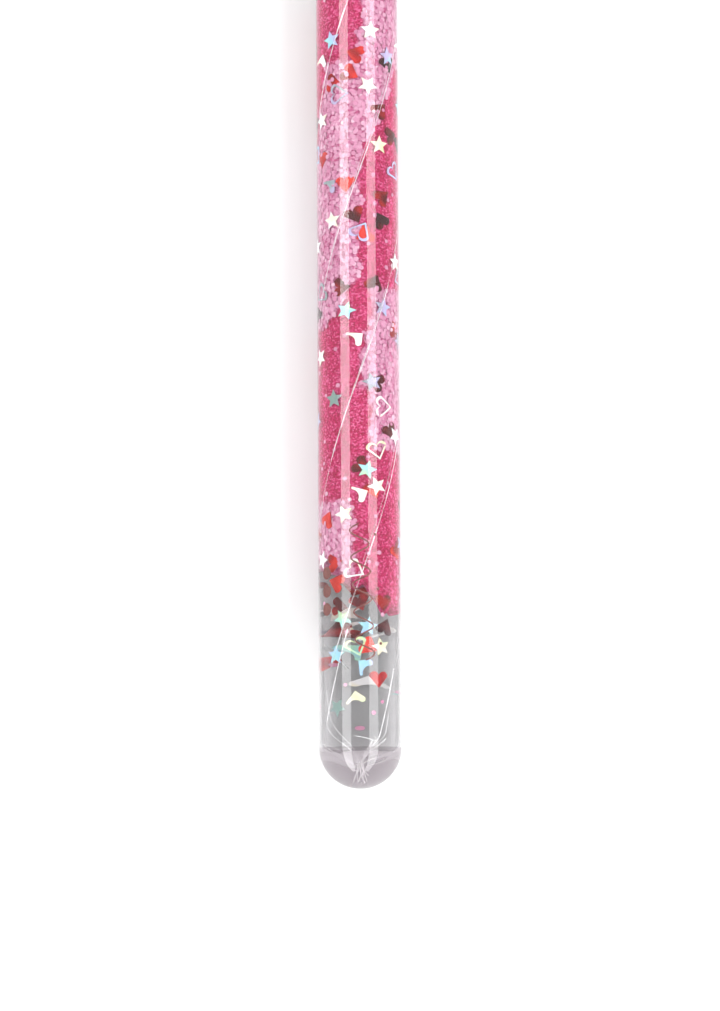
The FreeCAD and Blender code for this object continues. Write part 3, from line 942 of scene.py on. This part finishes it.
gather_lines = [
    fold_line(list(gathered(start, wall_end, angle_start, angle_end)), width)
    for start, wall_end, angle_start, angle_end, width in (
        (16.0, 7.0, 66, 22, 0.17),
        (21.0, 9.0, -20, -82, 0.14),
        (13.0, 9.5, -66, -40, 0.08),
        (10.0, 7.5, 52, 36, 0.09),
        (5.6, 5.6, -88, -70, 0.16),
        (5.5, 5.5, 86, 62, 0.18),
        (5.3, 5.3, -60, -40, 0.1),
        (6.6, 6.6, 45, 25, 0.2),
        (6.3, 6.3, 20, 12, 0.12),
        (6.0, 6.0, -30, -12, 0.12),
        (7.0, 7.0, 170, 150, 0.1),
        (6.5, 6.5, -150, -140, 0.1),
    )
]
gather_lines.append(fold_line([(6.9, 4.3, -10), (6.75, 4.3, 2), (6.5, 4.3, 14), (6.2, 4.3, 26)], 0.1))
tuft = ((15, 1.2), (60, 1.9), (100, 1.0), (150, 1.6), (200, 1.1), (250, 1.7), (300, 1.3), (340, 2.1))
for angle, reach in tuft:
    root = (KNOT_ALONG, 0.25, angle)
    middle = (KNOT_ALONG - reach / 2, 0.4, angle + 25)
    tip = (KNOT_ALONG - reach, 0.75, angle)
    gather_lines.append(fold_line([root, middle, tip], 0.13))
gather_points, gather_faces = joined(gather_lines)
pinched_film = creased_film("polypropylene_film_pinched", 0.0)
gather = new_piece("film_gather", gather_points, gather_faces, "barrel", [pinched_film], sharp=20)


# ---------------------------------------------------------------------------------------------
# Barrel: clear polystyrene, injection moulded in one piece and polished, with a round tail.
# The gel wets the chamber's wall, so light crosses it without bending there.

BARREL_WALL = 1.0
CHAMBER_RADIUS = BARREL_RADIUS - BARREL_WALL
PLUG_FRONT = station("chamber_plug", 1)


def clear_polystyrene():
    """Clear moulded polystyrene: bends light like glass, hard gloss, lets lamps through to the gel."""
    material, tree = start_material("polystyrene_clear")
    glass = add(
        tree,
        "ShaderNodeBsdfPrincipled",
        {
            "Base Color": linear("#FDFDFF"),
            "Roughness": 0.0,
            "IOR": 1.5,
            "Transmission Weight": 1.0,
        },
    )
    slant = add(tree, "ShaderNodeLayerWeight", {"Blend": 0.5})
    passing = ramp(
        add(tree, "ShaderNodeValToRGB", {"Fac": slant.outputs["Facing"]}),
        ((0.0, "#F8F8F8"), (0.4, "#F0F0F0"), (0.65, "#909090"), (0.85, "#303030")),
    )
    clear = add(tree, "ShaderNodeBsdfTransparent", {"Color": passing.outputs["Color"]})
    path = add(tree, "ShaderNodeLightPath")
    mix = add(
        tree,
        "ShaderNodeMixShader",
        {"Fac": path.outputs["Is Shadow Ray"], 1: glass.outputs["BSDF"], 2: clear.outputs["BSDF"]},
    )
    add(tree, "ShaderNodeOutputMaterial", {"Surface": mix.outputs["Shader"]})
    return material


def wetted_wall(name, passing):
    """Chamber wall under the gel: plastic and gel bend light alike, so the face itself can't be seen; a
    grey passing colour dims what lies behind it as painted shade.
    """
    material, tree = start_material(name)
    clear = add(tree, "ShaderNodeBsdfTransparent", {"Color": linear(passing)})
    add(tree, "ShaderNodeOutputMaterial", {"Surface": clear.outputs["BSDF"]})
    return material


def barrel_profile():
    """Outside from the tail to the mouth, then the bore back to the tail, and a material for each span:
    0 for the polished plastic and dry bore, 1 for the chamber's side under gel, 2 for its dome."""
    outside = list(arc((BARREL_RADIUS, 0), BARREL_RADIUS, 180, 90, 32))
    mouth = [(BARREL_LENGTH - 0.15, BARREL_RADIUS), (BARREL_LENGTH, BARREL_RADIUS - 0.15)]
    bore = [(BARREL_LENGTH, CHAMBER_RADIUS + 0.2), (BARREL_LENGTH - 0.2, CHAMBER_RADIUS)]
    chamber = [(PLUG_FRONT, CHAMBER_RADIUS)]
    chamber += list(arc((BARREL_RADIUS, 0), CHAMBER_RADIUS, 90, 180, 32))
    spans = [0] * (len(outside) + len(mouth) + len(bore)) + [1] + [2] * (len(chamber) - 2)
    return outside + mouth + bore + chamber, spans


profile, span_slots = barrel_profile()
barrel = turned_piece(
    "clear_barrel", profile, "barrel", [
        clear_polystyrene(),
        wetted_wall("polystyrene_under_gel", "#FFFFFF"),
        # Painted shade: the dome's wall passes light through a grey tint, which darkens the dome.
        wetted_wall("polystyrene_tail_dome_painted_shade", "#E3DFE1"),
    ], slots=span_slots, closed=False
)
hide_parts("barrel_tube")


# ---------------------------------------------------------------------------------------------
# Print: one thin coat of brown pad-printed ink on the barrel near the tail: a plain wavy line with
# dots beside it, and a row of three plain dots.

PRINT_RADIUS = BARREL_RADIUS + 0.01
PRINT_THICKNESS = 0.02


def pad_ink():
    """Pad-printed ink: flat brown, a little uneven."""
    material, tree = start_material("pad_ink_brown")
    place = add(tree, "ShaderNodeTexCoord").outputs["Object"]
    cover = add(tree, "ShaderNodeTexNoise", {"Vector": place, "Scale": 1 / (0.4 * MM), "Detail": 2.0})
    tint = ramp(
        add(tree, "ShaderNodeValToRGB", {"Fac": cover.outputs["Fac"]}), ((0.3, "#5A2A26"), (0.7, "#70403A"))
    )
    shader = add(
        tree, "ShaderNodeBsdfPrincipled", {"Base Color": tint.outputs["Color"], "Roughness": 0.4}
    )
    add(tree, "ShaderNodeOutputMaterial", {"Surface": shader.outputs["BSDF"]})
    return material


def printed_patch(outline):
    """Closed thin patch of ink over an outline of (distance, angle) places."""
    count = len(outline)
    points = [at(along, PRINT_RADIUS, angle) for along, angle in outline]
    points += [at(along, PRINT_RADIUS + PRINT_THICKNESS, angle) for along, angle in outline]
    faces = [list(range(count))[::-1], [count + k for k in range(count)]]
    faces += [[k, (k + 1) % count, count + (k + 1) % count, count + k] for k in range(count)]
    return points, faces


def printed_dot(along, angle, size):
    """Outline of a round dot."""
    around = math.degrees(size / PRINT_RADIUS)
    for k in range(16):
        swing = 2 * math.pi * k / 16
        yield along + size * math.cos(swing), angle + around * math.sin(swing)


def printed_stroke(route, width):
    """Closed thin shell of ink along a line of (distance, angle) places."""
    per_degree = math.radians(1) * PRINT_RADIUS
    points, faces = [], []
    for index, (along, angle) in enumerate(route):
        after = route[min(index + 1, len(route) - 1)]
        before = route[max(index - 1, 0)]
        run, rise = after[0] - before[0], (after[1] - before[1]) * per_degree
        length = math.hypot(run, rise)
        step = (-rise / length * width / 2, run / length * width / 2 / per_degree)
        for radius in (PRINT_RADIUS, PRINT_RADIUS + PRINT_THICKNESS):
            points.append(at(along + step[0], radius, angle + step[1]))
            points.append(at(along - step[0], radius, angle - step[1]))
    for index in range(len(route) - 1):
        low, high = 4 * index, 4 * index + 4
        for one, two in ((0, 1), (1, 3), (3, 2), (2, 0)):
            faces.append([low + one, low + two, high + two, high + one])
    end = 4 * (len(route) - 1)
    faces += [[0, 2, 3, 1], [end, end + 1, end + 3, end + 2]]
    return points, faces


wave = [(16.8 + 0.1 * k, 8 + 13 * math.sin(2 * math.pi * k / 36) - 0.05 * k) for k in range(181)]
ink_parts = [printed_stroke(wave, 0.2)]
for along, angle in ((19.0, 30), (26.2, 26), (33.4, 22)):
    ink_parts.append(printed_patch(list(printed_dot(along, angle, 0.2))))
for along in (23.6, 26.0, 28.4):
    ink_parts.append(printed_patch(list(printed_dot(along, -52, 0.85))))
ink_points, ink_faces = joined(ink_parts)
print_mark = new_piece("barrel_print", ink_points, ink_faces, "barrel", [pad_ink()], sharp=30)


# ---------------------------------------------------------------------------------------------
# Cap and clip: pearl pink polystyrene cap with a vented end button, and a plated spring steel
# clip on a pin between the bracket's ears.

pearl_pink = moulded_plastic("polystyrene_pearl_pink", "#B93A72", "#C85286", 0.25, sparkle=0.15)
dress(pearl_pink, "cap_shell", "cap_end_plug", "clip_bracket")
plated_steel = turned_metal("spring_steel_plated", "#C9CACD", "#E3E4E6", 0.12)
dress(plated_steel, "clip_arm", "clip_pin")


# ---------------------------------------------------------------------------------------------
# Stage: white sweep, soft light from the right, two long strip lamps that only show in gloss,
# and the camera almost straight above the barrel's tail half.

FLOOR_SIZE = 4.0


def white_sweep():
    """Painted white board, a little uneven."""
    material, tree = start_material("white_board")
    place = add(tree, "ShaderNodeTexCoord").outputs["Object"]
    tone = add(tree, "ShaderNodeTexNoise", {"Vector": place, "Scale": 3.0, "Detail": 2.0})
    tint = ramp(
        add(tree, "ShaderNodeValToRGB", {"Fac": tone.outputs["Fac"]}), ((0.3, "#EAEAEA"), (0.7, "#ECECEC"))
    )
    shader = add(
        tree, "ShaderNodeBsdfPrincipled", {
            "Base Color": tint.outputs["Color"],
            "Roughness": 0.9,
            "Specular IOR Level": 0.1,
        }
    )
    add(tree, "ShaderNodeOutputMaterial", {"Surface": shader.outputs["BSDF"]})
    return material


half = FLOOR_SIZE / 2
floor_mesh = bpy.data.meshes.new("floor")
floor_corners = [(-half, -half, 0), (half, -half, 0), (half, half, 0), (-half, half, 0)]
floor_mesh.from_pydata(floor_corners, [], [[0, 1, 2, 3]])
floor_mesh.materials.append(white_sweep())
floor = bpy.data.objects.new("floor", floor_mesh)
bpy.context.scene.collection.objects.link(floor)


def area_lamp(name, place, aim, size, radiance):
    """Rectangular lamp of an even radiance, turned to face a point, with its long side along the pen."""
    lamp = bpy.data.lights.new(name, "AREA")
    lamp.shape = "RECTANGLE"
    lamp.size, lamp.size_y = size
    lamp.energy = radiance * math.pi * size[0] * size[1]
    holder = bpy.data.objects.new(name, lamp)
    bpy.context.scene.collection.objects.link(holder)
    towards = (Vector(aim) - Vector(place)).normalized()
    side = Vector((0, 1, 0)).cross(towards).normalized()
    up = towards.cross(side)
    holder.matrix_world = Matrix.Translation(place) @ Matrix((side, up, -towards)).transposed().to_4x4()
    return holder


VIEW_ALONG = 37.7
VIEW_ASIDE = 0.11
view_centre = at(VIEW_ALONG, 0, 0) + Vector((VIEW_ASIDE * MM, 0, 0))

# Lamps on each side: their distance in metres, and their tilt from straight above in degrees.
STRIP_DISTANCE, STRIP_TILT = 0.45, 38
STRIP_HALF_ANGLE = 13
STRIP_LENGTH = 2.4
CARD_DISTANCE, CARD_TILT = 0.5, 72

for name, side, radiance in (("strip_lamp_left", -1, 6.8), ("strip_lamp_right", 1, 6.0)):
    turn = math.radians(STRIP_TILT) * side
    strip = area_lamp(
        name,
        view_centre + Vector((math.sin(turn), 0, math.cos(turn))) * STRIP_DISTANCE,
        view_centre,
        (2 * STRIP_DISTANCE * math.tan(math.radians(STRIP_HALF_ANGLE)), STRIP_LENGTH),
        radiance,
    )
    strip.visible_diffuse = False
    strip.visible_transmission = False
    strip.visible_camera = False

key = area_lamp("key_lamp", view_centre + Vector((0.42, 0.0, 0.5)), view_centre, (0.28, 0.9), 3.0)
key.visible_glossy = False
key.visible_transmission = False

for name, side, radiance in (("side_card_left", -1, 2.9), ("side_card_right", 1, 2.7)):
    turn = math.radians(CARD_TILT) * side
    bounce = area_lamp(
        name,
        view_centre + Vector((math.sin(turn), 0, math.cos(turn))) * CARD_DISTANCE,
        view_centre,
        (0.3, 0.9),
        radiance,
    )
    bounce.visible_glossy = False
    bounce.visible_transmission = False
    bounce.visible_camera = False

world = bpy.data.worlds.new("studio")
bpy.context.scene.world = world
world.use_nodes = True
world.node_tree.nodes["Background"].inputs["Color"].default_value = (1.0, 1.0, 1.0, 1.0)
world.node_tree.nodes["Background"].inputs["Strength"].default_value = 1.0

bpy.context.scene.view_settings.view_transform = "Standard"

CAMERA_DISTANCE = 0.5
CAMERA_RISE = math.radians(84.6)
CAMERA_ROLL = math.radians(-0.3)
lens = bpy.data.cameras.new("camera")
lens.lens = 133.5
lens.clip_start = 0.01
camera = bpy.data.objects.new("camera", lens)
bpy.context.scene.collection.objects.link(camera)
outward = Vector((0, -math.cos(CAMERA_RISE), math.sin(CAMERA_RISE)))
camera.location = view_centre + outward * CAMERA_DISTANCE
camera.rotation_euler = (
    outward.to_track_quat("Z", "Y").to_matrix() @ Matrix.Rotation(CAMERA_ROLL, 3, "Z")
).to_euler()
bpy.context.scene.camera = camera
